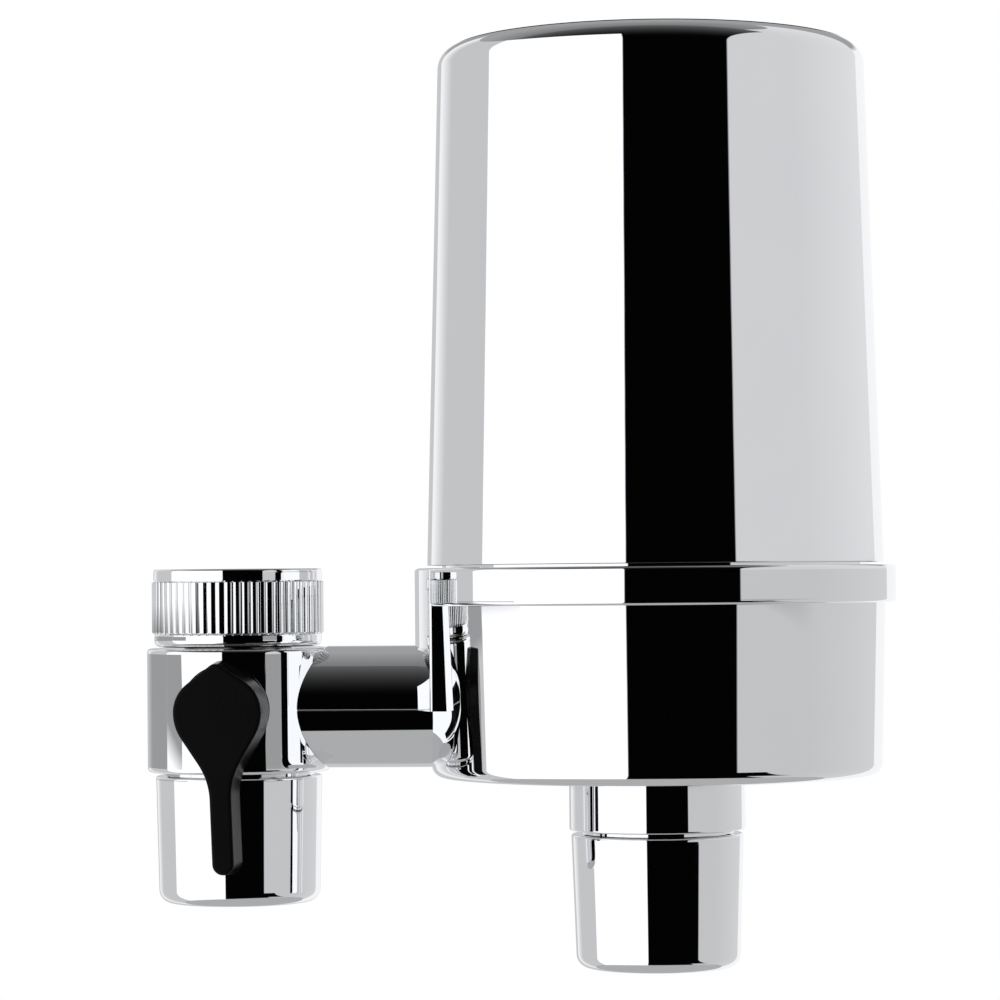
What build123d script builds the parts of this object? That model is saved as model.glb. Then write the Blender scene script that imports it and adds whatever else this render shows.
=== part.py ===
from build123d import *
import math
import os

# Faucet mount water filter, in millimetres.
# The origin is the centre of the collar's mouth, on its top rim. +Z is up, +X runs along
# the arm from the valve to the filter, and -Y faces the user.

# Clearances
fixed_gap = 0.05        # between curved faces of pieces that stay together
running_gap = 0.08      # radial, round what turns in a bore
free_gap = 0.3          # between curved faces that pass each other freely
seat_gap = 0.1          # between flat faces that turn or lift away from each other

# Collar: the knurled nut that screws on to the tap
tap_thread_radius = 11.9
tap_thread_end = 1.0      # from the thread's last turn to the washer
collar_height = 13.22
collar_rim_radius = 14.4
collar_foot_radius = 14.3
collar_foot_round = 1.1
collar_lip = 1.6
collar_pocket = 0.4      # radial, the washer's room outside the thread
knurl_radius = 14.74
knurl_depth = 0.52
knurl_count = 60
knurl_top = 1.95
knurl_height = 9.42
knurl_backing = 1.0

# Washer and screen in the collar
washer_thickness = 2.0
washer_bore = 7.4
screen_thickness = 0.6
screen_hole = 1.3
screen_pitch = 3.4
screen_rows = 2

# Swivel stem: its flange is held by the collar's lip
stem_flange_thickness = 1.5
stem_flange_radius = 11.8
stem_barrel_radius = 9.2
stem_foot_radius = 8.6
stem_foot_depth = 3.35
stem_bore = 5.5

# Seal rings
seal_section = 1.1      # width of the groove's depth, from its root to the bore
seal_groove = 1.5       # length of the groove

# Valve body
valve_gap = 0.25        # between the collar and the valve body
valve_radius = 15.57
valve_height = 21.05
valve_round = 0.7
port_radius = 3.2

# Diverter plug, on the same height as the arm's axis
plug_axis_drop = 10.17  # below the top of the valve body
plug_radius = 6.0
plug_back = 10.9
plug_front = 12.0
plug_seal_inset = 2.3   # from each end of the plug to the middle of its seal ring
plug_shaft_radius = 4.0
plug_shaft_flat = 3.2
bush_radius = 7.5
bush_length = 3.0

# Lever
lever_gap = 0.3         # between the valve body's front and the lever
lever_thickness = 6.25
lever_draft = 4.0
lever_tilt = 2.0
lever_round = 0.5
lever_apex = 8.27
lever_apex_round = 1.6
lever_flank = (4.9, 4.72)
lever_half_width = 7.35
lever_shoulder = (6.1, 4.4)
lever_waist = (3.5, 8.6)
lever_stem_start = 14.3
lever_stem_half_width = 1.8
lever_length = 27.05    # from the pivot to the tip
lever_socket_depth = 4.5

# Outlets: both are screwed on, with a washer and a stream insert
cup_gap = 0.7
cup_height = 21.58
cup_top_radius = 14.18
cup_bottom_radius = 13.7
outlet_gap = 0.7
outlet_height = 22.5
outlet_top_radius = 14.6
outlet_bottom_radius = 13.82
outlet_bottom_round = 2.2
outlet_top_round = 0.4
outlet_bore = 12.2
outlet_lip = 1.5
outlet_mouth = 10.4
outlet_grip = 7.0       # how far the spigot reaches into the outlet
outlet_washer_thickness = 1.9
outlet_washer_bore = 7.5
neck_recess = 0.7       # the spigot's collar above the outlet's rim
insert_wall = 1.1
insert_comb_thickness = 2.6
insert_comb_pitch = 2.75
insert_comb_web = 0.5
insert_comb_rows = 3
insert_plate = 1.5
insert_nose_recess = 0.4
insert_slot_count = 12
insert_slot = (1.0, 4.2)

# Arm, in two halves that meet on the parting line
arm_radius = 10.35
arm_wall = 2.0
seam_drop = 0.3         # of the parting line below the arm's axis
seam_groove = 0.25
arm_rib = 1.3
arm_rib_width = 2.0
arm_rib_place = 19.0
boss_end = 24.0
feed_tube_radius = 5.0
feed_tube_bore = 3.4
feed_socket_start = 11.0
feed_seal_inset = 3.0

# Filter housing
arm_length = 30.84      # from the tap's axis to the middle of the tab
band_radius = 40.63
band_top = -0.18
band_height = 6.3
band_round = 0.6
tab_overhang = 0.12     # of the tab beyond the band
tab_half_width = 18.3
tab_top_drop = 0.3      # below the top of the band
tab_round = 0.5
base_inset = 1.81       # of the bowl's top inside the band
base_taper = 0.8
base_height = 28.97
base_round = 2.0
base_floor = 3.5
band_wall = 4.57        # between the band's outside and the upstand
upstand_wall = 2.2
upstand_height = 9.0    # above the band
neck_radius = 14.9
neck_length = 9.19
outlet_passage = 4.6
cartridge_boss_radius = 10.6
cartridge_boss_height = 7.3
inlet_boss_radius = 7.6
inlet_boss_start = 0.31  # behind the tab's middle
inlet_boss_reach = 2.31  # into the bowl
inlet_boss_floor = 3.0

# Cap
cap_joint = 0.43         # between the band's top and the cap's foot
cap_inset = 2.03        # of the cap's foot inside the band
cap_taper = 2.45
cap_wall_height = 84.05
cap_round = 3.6
cap_crown = 0.6
cap_wall = 2.2
cap_roof = 2.4
cap_inner_round = 2.0
cap_rebate = 1.1
cap_rebate_height = 2.2
cap_stop_radius = 12.0
cap_stop_wall = 1.5
cap_stop_height = 1.6

# Cartridge
cartridge_room = 4.3     # between the cartridge and the bowl
cartridge_cage_wall = 1.5
cartridge_end = 3.0
cartridge_spigot_radius = 7.6
cartridge_spigot_length = 6.0
cartridge_passage = 4.5
cage_columns = 8
cage_rows = 5
cage_window_rise = 0.77   # of each row's height
cage_window_share = 0.72  # of each column's width
fleece_thickness = 1.3
core_radius = 8.9
core_wall = 1.5
core_slots = 6
core_slot_width = 2.0
grip_length = 34.0
grip_width = 3.5
grip_height = 5.0
grip_hub_radius = 7.0

# Heights and places worked out from the sizes above
flange_bottom = -collar_height + collar_lip + seat_gap
flange_top = flange_bottom + stem_flange_thickness
washer_bottom = flange_top + seat_gap
washer_top = washer_bottom + washer_thickness
thread_bottom = washer_top + tap_thread_end
pocket_radius = tap_thread_radius + collar_pocket
valve_top = -collar_height - valve_gap
valve_bottom = valve_top - valve_height
arm_z = valve_top - plug_axis_drop
seam_z = arm_z - seam_drop
stem_socket_radius = stem_foot_radius + fixed_gap
stem_foot_bottom = valve_top - stem_foot_depth
plug_bore = plug_radius + running_gap
plug_pocket = plug_back + seat_gap
bush_back = -plug_front - seat_gap
bush_front = bush_back - bush_length
lever_back = -valve_radius - lever_gap
lever_front = lever_back - lever_thickness
arm_bore = arm_radius - arm_wall
spigot_radius = outlet_bore - free_gap
cup_top = valve_bottom - cup_gap
tab_reach = band_radius + tab_overhang
filter_x = arm_length + tab_reach
upstand_radius = band_radius - band_wall
base_cavity = upstand_radius - upstand_wall
base_top_radius = band_radius - base_inset
base_bottom_radius = base_top_radius - base_taper
band_bottom = band_top - band_height
upstand_top = band_top + upstand_height
base_bottom = band_bottom - base_height
base_inside = base_bottom + base_floor
boss_near = arm_length + inlet_boss_start
boss_far = filter_x - base_cavity + inlet_boss_reach
feed_socket = feed_tube_radius + fixed_gap
feed_tube_start = feed_socket_start + seat_gap
feed_tube_end = boss_far - inlet_boss_floor - seat_gap
neck_bottom = base_bottom - neck_length
outlet_top = neck_bottom - outlet_gap
cap_bottom = band_top + cap_joint
cap_bottom_radius = band_radius - cap_inset
cap_top_radius = cap_bottom_radius - cap_taper
cap_wall_top = cap_bottom + cap_wall_height
cap_edge_top = cap_wall_top + cap_round
cap_inside_top = cap_edge_top - cap_roof
cartridge_bottom = base_inside + cartridge_boss_height
media_bottom = cartridge_bottom + cartridge_end
cap_stop = cap_inside_top - cap_stop_height
cartridge_top = cap_stop - free_gap
media_top = cartridge_top - grip_height - cartridge_end
cartridge_radius = base_cavity - cartridge_room
fleece_radius = cartridge_radius - cartridge_cage_wall - fixed_gap
carbon_radius = fleece_radius - fleece_thickness - fixed_gap
filter_axis = Pos(filter_x, 0, 0)


def disc(radius, low, high):
    """A cylinder about the vertical axis, between two heights."""
    return Pos(0, 0, low) * Cylinder(radius, high - low, align=(Align.CENTER, Align.CENTER, Align.MIN))


def ring(outer, inner, low, high):
    """A plain ring about the vertical axis, between two heights."""
    return disc(outer, low, high) - disc(inner, low, high)


def rod_x(radius, start, end):
    """A cylinder along the arm's axis, between two places on X."""
    return Pos(0, 0, arm_z) * Rot(0, 90, 0) * disc(radius, start, end)


def rod_y(radius, front, back):
    """A cylinder along the plug's axis, between two places on Y."""
    return Pos(0, 0, arm_z) * Rot(-90, 0, 0) * disc(radius, front, back)


def turned(outline, rounds=()):
    """Turn an outline of (radius, height) points, with some corners rounded."""
    face = make_face(Polyline(*outline, close=True))
    for corner, radius in rounds:
        nearest = face.vertices().sort_by_distance(Vertex(corner[0], corner[1], 0))[0]
        face = fillet(nearest, radius)
    return revolve(Plane.XZ * face, Axis.Z)


def seal_ring(root, bore):
    """A seal ring about the vertical axis, from a groove's root to a bore, with eight flats in section."""
    flats = RegularPolygon((bore - root) / 2 - fixed_gap, 8, major_radius=False, rotation=22.5)
    section = Pos((root + bore) / 2, 0) * flats
    return revolve(Plane.XZ * section, Axis.Z)


def seal_cut(root, outer):
    """The groove for a seal ring, centred on the origin."""
    return ring(outer, root, -seal_groove / 2, seal_groove / 2)


def knurled_face():
    """Half-round ribs side by side round a circle."""
    ribs = []
    step = 360 / knurl_count
    for number in range(knurl_count):
        start, middle, end = (Vector(1, 0).rotate(Axis.Z, (number + part) * step) for part in (0, 0.5, 1))
        root = knurl_radius - knurl_depth
        ribs.append(ThreePointArc(start * root, middle * knurl_radius, end * root))
    return make_face(Wire(ribs))


def collar():
    """Nut with a smooth rim, a knurled grip, a rounded foot and an inner lip that holds the stem."""
    knurl_core = knurl_radius - knurl_depth - knurl_backing / 2
    knurl_bottom = -knurl_top - knurl_height
    lip_radius = stem_barrel_radius + free_gap
    outline = [
        (tap_thread_radius, 0), (collar_rim_radius, 0), (collar_rim_radius, -knurl_top),
        (knurl_core, -knurl_top), (knurl_core, knurl_bottom),
        (collar_foot_radius, knurl_bottom), (collar_foot_radius, -collar_height),
        (lip_radius, -collar_height), (lip_radius, -collar_height + collar_lip),
        (pocket_radius, -collar_height + collar_lip), (pocket_radius, thread_bottom),
        (tap_thread_radius, thread_bottom),
    ]
    rounds = [((collar_rim_radius, 0), 0.4), ((collar_foot_radius, -collar_height), collar_foot_round)]
    knurl = Pos(0, 0, knurl_bottom) * extrude(knurled_face(), knurl_height)
    knurl -= disc(knurl_core - knurl_backing / 2, knurl_bottom - 1, 0)
    return turned(outline, rounds) + knurl


def collar_washer():
    return ring(pocket_radius - free_gap, washer_bore, washer_bottom, washer_top)


def inlet_screen():
    """A pierced disc that lies in the washer's bore, on the stem's flange."""
    screen = disc(washer_bore - fixed_gap, washer_bottom, washer_bottom + screen_thickness)
    hole = RegularPolygon(screen_hole, 6)
    holes = HexLocations(screen_pitch / 2, 2 * screen_rows + 1, 2 * screen_rows + 1)
    reach = screen_pitch * (screen_rows + 0.1)
    for place in holes:
        if place.position.length < reach:
            screen -= extrude(Pos(0, 0, washer_bottom) * place * hole, screen_thickness)
    return screen


def swivel_stem():
    """Flanged tube: the flange sits in the collar and the foot in the valve body."""
    outline = [
        (stem_bore, flange_top), (stem_flange_radius, flange_top), (stem_flange_radius, flange_bottom),
        (stem_barrel_radius, flange_bottom), (stem_barrel_radius, valve_top),
        (stem_foot_radius, valve_top), (stem_foot_radius, stem_foot_bottom),
        (stem_bore, stem_foot_bottom),
    ]
    groove = seal_cut(stem_socket_radius - seal_section, stem_flange_radius)
    return turned(outline) - stem_seal_place() * groove


def stem_seal_place():
    return Pos(0, 0, valve_top - stem_foot_depth / 2)


def stem_seal():
    return stem_seal_place() * seal_ring(stem_socket_radius - seal_section, stem_socket_radius)


def spigot(top):
    """The threaded spigot of an outlet whose rim is at the given height, with its collar above."""
    return disc(outlet_bore + neck_recess, top + seat_gap, top + 3) + disc(
        spigot_radius, top - outlet_grip, top + 3)


def valve_body():
    """Cylinder with the stem's socket on top, the plug's bore, a side boss and a lower spigot."""
    outline = [(0, valve_top), (valve_radius, valve_top), (valve_radius, valve_bottom), (0, valve_bottom)]
    body = turned(outline, [(outline[1], valve_round), (outline[2], valve_round)])
    body += spigot(cup_top)
    boss = rod_x(arm_bore - fixed_gap, 0, boss_end)
    rib_root = arm_bore - arm_rib - fixed_gap
    half = arm_rib_width / 2 + seat_gap
    boss -= rod_x(arm_bore, arm_rib_place - half, arm_rib_place + half) - rod_x(rib_root, 0, boss_end)
    body += boss
    body -= disc(stem_socket_radius, stem_foot_bottom, valve_top)
    body -= disc(port_radius, cup_top - outlet_grip, valve_top)
    body -= rod_x(port_radius, 0, boss_end)
    body -= rod_x(feed_socket, feed_socket_start, boss_end)
    body -= rod_y(plug_bore, -valve_radius, plug_pocket)
    body -= rod_y(bush_radius + fixed_gap, -valve_radius - 1, bush_back)
    return body


def plug_seal_places():
    """The front and the rear seal ring's places, on the plug's axis."""
    for y in (-plug_front + plug_seal_inset, plug_back - plug_seal_inset):
        yield Pos(0, y, arm_z) * Rot(-90, 0, 0)


def diverter_plug():
    """Plug with a passage from top to bottom and a branch away from the filter, and a flatted shaft."""
    plug = rod_y(plug_radius, -plug_front, plug_back)
    shaft_end = lever_back - lever_socket_depth + seat_gap
    shaft = rod_y(plug_shaft_radius, shaft_end, -plug_front)
    flats = Box(2 * plug_shaft_flat, lever_back - shaft_end + 1, 3 * plug_shaft_radius)
    shaft &= Pos(0, (lever_back + shaft_end) / 2, arm_z) * flats + rod_y(
        plug_shaft_radius, lever_back, -plug_front)
    plug += shaft
    passage = port_radius - 0.2
    plug -= Pos(0, 0, arm_z) * disc(passage, -plug_radius, plug_radius)
    plug -= rod_x(passage, -plug_radius, 0)
    for place in plug_seal_places():
        plug -= place * seal_cut(plug_bore - seal_section, plug_radius + 1)
    return plug


def plug_seals():
    return [place * seal_ring(plug_bore - seal_section, plug_bore) for place in plug_seal_places()]


def retaining_bush():
    """Ring in the mouth of the plug's bore that keeps the plug in, behind the lever."""
    return rod_y(bush_radius, bush_front, bush_back) - rod_y(
        plug_shaft_radius + running_gap, bush_front, bush_back)


def lever_side(side):
    """One side of the lever's outline, from its apex down to its tip."""
    apex = (0, lever_apex)
    flank = (side * lever_flank[0], lever_flank[1])
    widest = (side * lever_half_width, -0.2)
    shoulder = (side * lever_shoulder[0], -lever_shoulder[1])
    waist = (side * lever_waist[0], -lever_waist[1])
    stem = (side * lever_stem_half_width, -lever_stem_start)
    tip = (side * lever_stem_half_width, lever_stem_half_width - lever_length)
    return [
        Line(apex, flank),
        TangentArc(flank, widest, tangent=(flank[0], flank[1] - lever_apex)),
        TangentArc(widest, shoulder, tangent=(0, -1)),
        Line(shoulder, waist),
        TangentArc(waist, stem, tangent=(waist[0] - shoulder[0], waist[1] - shoulder[1])),
        Line(stem, tip),
    ]


def lever():
    """Drop-shaped lever with drafted sides, a rounded front edge and a flatted socket."""
    tip_centre = lever_stem_half_width - lever_length
    tip = ThreePointArc((lever_stem_half_width, tip_centre), (0, -lever_length),
                        (-lever_stem_half_width, tip_centre))
    front = make_face(lever_side(1) + lever_side(-1) + [tip])
    apex = front.vertices().sort_by(Axis.Y)[-1]
    front = fillet(apex, lever_apex_round)
    face = Plane(origin=(0, lever_front, arm_z), x_dir=(1, 0, 0), z_dir=(0, -1, 0)) * front
    body = extrude(face, -lever_thickness, taper=-lever_draft)
    body = fillet(body.faces().sort_by(Axis.Y)[0].edges(), lever_round)
    socket = rod_y(plug_shaft_radius + fixed_gap, lever_back - lever_socket_depth, lever_back + 1)
    socket &= Pos(0, lever_back, arm_z) * Box(
        2 * (plug_shaft_flat + fixed_gap), 3 * lever_thickness, 3 * plug_shaft_radius)
    return body - socket


def tilted(piece):
    """Turn a piece about the plug's axis by the lever's tilt."""
    return piece.rotate(Axis((0, 0, arm_z), (0, -1, 0)), lever_tilt)


def outlet_shell(top, height, top_radius, bottom_radius):
    """Screwed-on outlet: a slightly tapered tube with a rounded foot and an inner lip."""
    bottom = top - height
    outline = [
        (outlet_bore, top), (top_radius, top), (bottom_radius, bottom), (outlet_mouth, bottom),
        (outlet_mouth, bottom + outlet_lip), (outlet_bore, bottom + outlet_lip),
    ]
    return turned(outline, [(outline[1], outlet_top_round), (outline[2], outlet_bottom_round)])


def outlet_washer(top):
    high = top - outlet_grip - seat_gap
    return ring(outlet_bore - fixed_gap, outlet_washer_bore, high - outlet_washer_thickness, high)


def outlet_insert(top, height):
    """Stream former: a slotted plate on top, a chamber and a honeycomb at the mouth."""
    high = top - outlet_grip - seat_gap - outlet_washer_thickness
    lip = top - height + outlet_lip
    low = top - height + insert_nose_recess
    outer = outlet_bore - fixed_gap
    nose = outlet_mouth - fixed_gap
    inner = nose - insert_wall
    comb_top = low + insert_comb_thickness
    body = disc(outer, lip, high) + disc(nose, low, lip)
    body -= disc(inner, comb_top, high - insert_plate)
    cell = RegularPolygon((insert_comb_pitch - insert_comb_web) / 2, 6, major_radius=False)
    count = 2 * insert_comb_rows + 1
    for place in HexLocations(insert_comb_pitch / 2, count, count):
        if place.position.length < insert_comb_pitch * (insert_comb_rows + 0.1):
            body -= extrude(Pos(0, 0, low) * place * cell, insert_comb_thickness)
    slot = Box(insert_slot[1], insert_slot[0], 3 * insert_plate)
    for place in PolarLocations(inner / 2 + insert_slot[0], insert_slot_count):
        body -= Pos(0, 0, high - insert_plate / 2) * place * slot
    return body


def arm_half(upper):
    """One half of the arm's tube, cut to fit the valve body, with a rib that grips its boss."""
    end = filter_x - base_cavity
    tube = rod_x(arm_radius, 0, end) - rod_x(arm_bore, 0, end)
    half = arm_rib_width / 2
    tube += rod_x(arm_bore + 0.5, arm_rib_place - half, arm_rib_place + half) - rod_x(
        arm_bore - arm_rib, 0, end)
    side = 1 if upper else -1
    reach = 2 * arm_radius
    tube &= Pos(end / 2, 0, seam_z + side * reach / 2) * Box(end, reach * 2, reach)
    for y in (-arm_radius, arm_radius):
        tube -= Pos(end / 2, y, seam_z) * Rot(45, 0, 0) * Box(
            end, seam_groove * math.sqrt(2), seam_groove * math.sqrt(2))
    return tube - disc(valve_radius + fixed_gap, valve_bottom - 1, valve_top + 1)


def bowl_form(grow=0.0):
    """Outer form of the base's bowl about the filter's axis, grown outwards."""
    outline = [
        (0, band_bottom), (base_top_radius + grow, band_bottom),
        (base_bottom_radius + grow, base_bottom), (0, base_bottom),
    ]
    return filter_axis * turned(outline, [(outline[2], base_round)])


def tab_section():
    """Plan of the tab: an arc a little outside the band, between two straight sides."""
    side_x = filter_x - math.sqrt(tab_reach**2 - tab_half_width**2)
    inner_x = filter_x - upstand_radius
    face = make_face([
        Polyline((side_x, tab_half_width), (inner_x, tab_half_width),
                 (inner_x, -tab_half_width), (side_x, -tab_half_width)),
        ThreePointArc((side_x, -tab_half_width), (filter_x - tab_reach, 0), (side_x, tab_half_width)),
    ])
    return fillet(face.vertices().sort_by(Axis.X)[:2], tab_round)


def yoke():
    """Band round the housing, the tab below it on the arm's side, and the arm's upper half."""
    outline = [
        (upstand_radius + fixed_gap, band_top), (band_radius, band_top),
        (band_radius, band_bottom), (upstand_radius + fixed_gap, band_bottom),
    ]
    band = filter_axis * turned(outline, [(outline[1], band_round), (outline[2], band_round)])
    tab = extrude(Pos(0, 0, seam_z) * tab_section(), band_top - tab_top_drop - seam_z)
    tab -= filter_axis * disc(base_top_radius - 1, band_bottom, band_top)
    tab -= bowl_form(fixed_gap)
    piece = band + tab + (arm_half(True) - bowl_form(fixed_gap))
    return piece - rod_x(arm_bore, boss_end, filter_x - upstand_radius)


def base():
    """Bowl with an upstand for the cap, the arm's lower half, the inlet boss and the outlet neck."""
    body = bowl_form() + filter_axis * disc(upstand_radius, band_bottom, upstand_top)
    body += arm_half(False)
    body += rod_x(inlet_boss_radius, boss_near, boss_far)
    body -= filter_axis * disc(base_cavity, base_inside, upstand_top) - rod_x(
        inlet_boss_radius, boss_near, boss_far)
    neck = disc(neck_radius, neck_bottom, base_bottom)
    neck += spigot(outlet_top)
    neck += disc(cartridge_boss_radius, base_bottom, cartridge_bottom)
    neck -= disc(outlet_passage, outlet_top - outlet_grip, cartridge_bottom)
    socket = cartridge_bottom - cartridge_spigot_length - seat_gap
    neck -= disc(cartridge_spigot_radius + fixed_gap, socket, cartridge_bottom)
    body -= filter_axis * disc(cartridge_spigot_radius + fixed_gap, base_bottom, base_inside)
    body += filter_axis * neck
    body -= rod_x(feed_socket, boss_near, boss_far - inlet_boss_floor)
    return body - rod_x(feed_tube_bore, boss_near, boss_far)


def feed_seal_places():
    """The seal rings' places near each end of the feed tube."""
    for x in (feed_tube_start + feed_seal_inset, feed_tube_end - feed_seal_inset):
        yield Pos(x, 0, arm_z) * Rot(0, 90, 0)


def feed_tube():
    """Tube inside the arm from the valve to the bowl, with a groove near each end."""
    tube = rod_x(feed_tube_radius, feed_tube_start, feed_tube_end)
    tube -= rod_x(feed_tube_bore, feed_tube_start, feed_tube_end)
    for place in feed_seal_places():
        tube -= place * seal_cut(feed_socket - seal_section, feed_tube_radius + 1)
    return tube


def feed_seals():
    return [place * seal_ring(feed_socket - seal_section, feed_socket) for place in feed_seal_places()]


def cap():
    """Slightly tapered cap with a softly rounded edge, a crowned top and a stop for the cartridge."""
    inner = upstand_radius + free_gap
    taper = (cap_bottom_radius - cap_top_radius) / cap_wall_height
    edge_radius = cap_top_radius - taper * cap_round
    rebate = cap_bottom_radius - cap_rebate
    outer_side = Line((cap_bottom_radius, cap_bottom), (edge_radius, cap_edge_top))
    crown = TangentArc((0, cap_edge_top + cap_crown), (edge_radius, cap_edge_top), tangent=(1, 0))
    inside = Polyline(
        (0, cap_edge_top + cap_crown), (0, cap_inside_top), (edge_radius - cap_wall, cap_inside_top),
        (inner, upstand_top + 2), (inner, cap_bottom + cap_rebate_height),
        (rebate, cap_bottom + cap_rebate_height), (rebate, cap_bottom), (cap_bottom_radius, cap_bottom))
    face = make_face([outer_side, crown, inside])
    for corner, radius in (
            ((edge_radius, cap_edge_top), cap_round),
            ((edge_radius - cap_wall, cap_inside_top), cap_inner_round)):
        nearest = face.vertices().sort_by_distance(Vertex(corner[0], corner[1], 0))[0]
        face = fillet(nearest, radius)
    shell = revolve(Plane.XZ * face, Axis.Z)
    shell += ring(cap_stop_radius, cap_stop_radius - cap_stop_wall, cap_stop, cap_inside_top)
    return filter_axis * shell


def cap_seal():
    """Seal ring in the rebate at the cap's foot, against the base's upstand."""
    rebate = cap_bottom_radius - cap_rebate
    return filter_axis * Pos(0, 0, cap_bottom + cap_rebate_height / 2) * seal_ring(
        upstand_radius + fixed_gap, rebate)


def cartridge_bottom_cap():
    """End cap with the spigot that plugs into the base."""
    low = cartridge_bottom - cartridge_spigot_length
    body = disc(cartridge_radius, cartridge_bottom, media_bottom)
    body += disc(cartridge_spigot_radius, low, cartridge_bottom)
    body -= disc(cartridge_passage, low, media_bottom)
    groove = seal_cut(cartridge_spigot_radius + fixed_gap - seal_section, cartridge_spigot_radius + 1)
    return filter_axis * (body - Pos(0, 0, cartridge_seal_height()) * groove)


def cartridge_seal_height():
    return cartridge_bottom - cartridge_spigot_length / 2


def cartridge_seal():
    bore = cartridge_spigot_radius + fixed_gap
    return filter_axis * Pos(0, 0, cartridge_seal_height()) * seal_ring(bore - seal_section, bore)


def cartridge_cage():
    """Open cage: rows of windows round a tube."""
    body = ring(cartridge_radius, cartridge_radius - cartridge_cage_wall, media_bottom, media_top)
    pitch = (media_top - media_bottom) / cage_rows
    column = 360 / cage_columns
    rise = pitch * cage_window_rise
    wedge = Pos(0, 0, -rise / 2) * extrude(
        make_face(Polyline(
            (0, 0),
            *[Vector(2 * cartridge_radius, 0).rotate(Axis.Z, side * column * cage_window_share / 2)
              for side in (-1, 1)],
            close=True)),
        rise)
    for row in range(cage_rows):
        height = media_bottom + (row + 0.5) * pitch
        for number in range(cage_columns):
            body -= Pos(0, 0, height) * Rot(0, 0, number * column) * wedge
    return filter_axis * body


def fleece_wrap():
    return filter_axis * ring(fleece_radius, fleece_radius - fleece_thickness, media_bottom, media_top)


def carbon_block():
    return filter_axis * ring(carbon_radius, core_radius + fixed_gap, media_bottom, media_top)


def core_tube():
    """Slotted tube in the middle of the carbon block."""
    tube = ring(core_radius, core_radius - core_wall, media_bottom, media_top)
    slot = Box(4 * core_radius, core_slot_width, media_top - media_bottom - 4 * cartridge_end)
    for number in range(core_slots // 2):
        tube -= Pos(0, 0, (media_bottom + media_top) / 2) * Rot(0, 0, number * 360 / core_slots) * slot
    return filter_axis * tube


def cartridge_top_cap():
    """Closed end cap with a hub and a bar to pull the cartridge out by."""
    high = media_top + cartridge_end
    body = disc(cartridge_radius, media_top, high)
    body += disc(grip_hub_radius, high, cartridge_top)
    bar = Box(grip_length, grip_width, grip_height)
    return filter_axis * (body + Pos(0, 0, high + grip_height / 2) * bar)


def all_pieces():
    """Every piece of the filter, by name."""
    front_seal, rear_seal = plug_seals()
    valve_seal, base_seal = feed_seals()
    return {
        "collar": collar(),
        "collar_washer": collar_washer(),
        "inlet_screen": inlet_screen(),
        "swivel_stem": swivel_stem(),
        "stem_seal_ring": stem_seal(),
        "valve_body": valve_body(),
        "retaining_bush": retaining_bush(),
        "diverter_plug": tilted(diverter_plug()),
        "plug_seal_front": front_seal,
        "plug_seal_rear": rear_seal,
        "lever": tilted(lever()),
        "tap_outlet_cup": outlet_shell(cup_top, cup_height, cup_top_radius, cup_bottom_radius),
        "tap_outlet_washer": outlet_washer(cup_top),
        "tap_outlet_insert": outlet_insert(cup_top, cup_height),
        "yoke": yoke(),
        "base": base(),
        "feed_tube": feed_tube(),
        "feed_seal_valve": valve_seal,
        "feed_seal_base": base_seal,
        "cap": cap(),
        "cap_seal_ring": cap_seal(),
        "cartridge_bottom_cap": cartridge_bottom_cap(),
        "cartridge_seal_ring": cartridge_seal(),
        "cartridge_cage": cartridge_cage(),
        "fleece_wrap": fleece_wrap(),
        "carbon_block": carbon_block(),
        "core_tube": core_tube(),
        "cartridge_top_cap": cartridge_top_cap(),
        "filter_outlet_shell": filter_axis * outlet_shell(
            outlet_top, outlet_height, outlet_top_radius, outlet_bottom_radius),
        "filter_outlet_washer": filter_axis * outlet_washer(outlet_top),
        "filter_outlet_insert": filter_axis * outlet_insert(outlet_top, outlet_height),
    }


os.makedirs("parts", exist_ok=True)
for name, piece in all_pieces().items():
    export_step(piece, f"parts/{name}.step")
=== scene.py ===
import math

import bmesh
import bpy
from mathutils import Matrix, Vector, geometry


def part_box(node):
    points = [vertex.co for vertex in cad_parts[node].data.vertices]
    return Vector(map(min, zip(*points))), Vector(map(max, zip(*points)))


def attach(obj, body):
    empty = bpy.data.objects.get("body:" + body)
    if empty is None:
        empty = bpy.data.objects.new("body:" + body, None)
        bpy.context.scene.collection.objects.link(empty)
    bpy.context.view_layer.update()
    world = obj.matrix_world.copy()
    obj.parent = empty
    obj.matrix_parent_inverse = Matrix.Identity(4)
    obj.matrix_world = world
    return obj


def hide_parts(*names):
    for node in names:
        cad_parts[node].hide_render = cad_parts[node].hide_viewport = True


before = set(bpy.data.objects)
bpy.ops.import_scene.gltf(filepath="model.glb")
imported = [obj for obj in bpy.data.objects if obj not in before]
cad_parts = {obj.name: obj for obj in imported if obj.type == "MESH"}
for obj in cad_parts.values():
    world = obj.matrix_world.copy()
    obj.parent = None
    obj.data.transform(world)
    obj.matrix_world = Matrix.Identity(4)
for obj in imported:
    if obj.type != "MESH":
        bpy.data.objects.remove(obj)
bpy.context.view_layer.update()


# Collar: the turned and knurled nut that carries the whole filter, chromed all over.
# Sixty flat-topped ribs give the grip, a 27-per-inch thread runs down the bore, and
# the foot is rounded over.
mm = 0.001
full_turn = 2 * math.pi
crease_angle = math.radians(28)
weld_distance = 1e-4 * mm


def box_corners(node):
    """The low and high corners of a node's box, in millimetres."""
    return [Vector(corner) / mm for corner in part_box(node)]


def extent(node):
    """A node's axis on X, its radius, its foot and its top, in millimetres."""
    low, high = box_corners(node)
    return (low.x + high.x) / 2, (high.x - low.x) / 2, low.z, high.z


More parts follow.
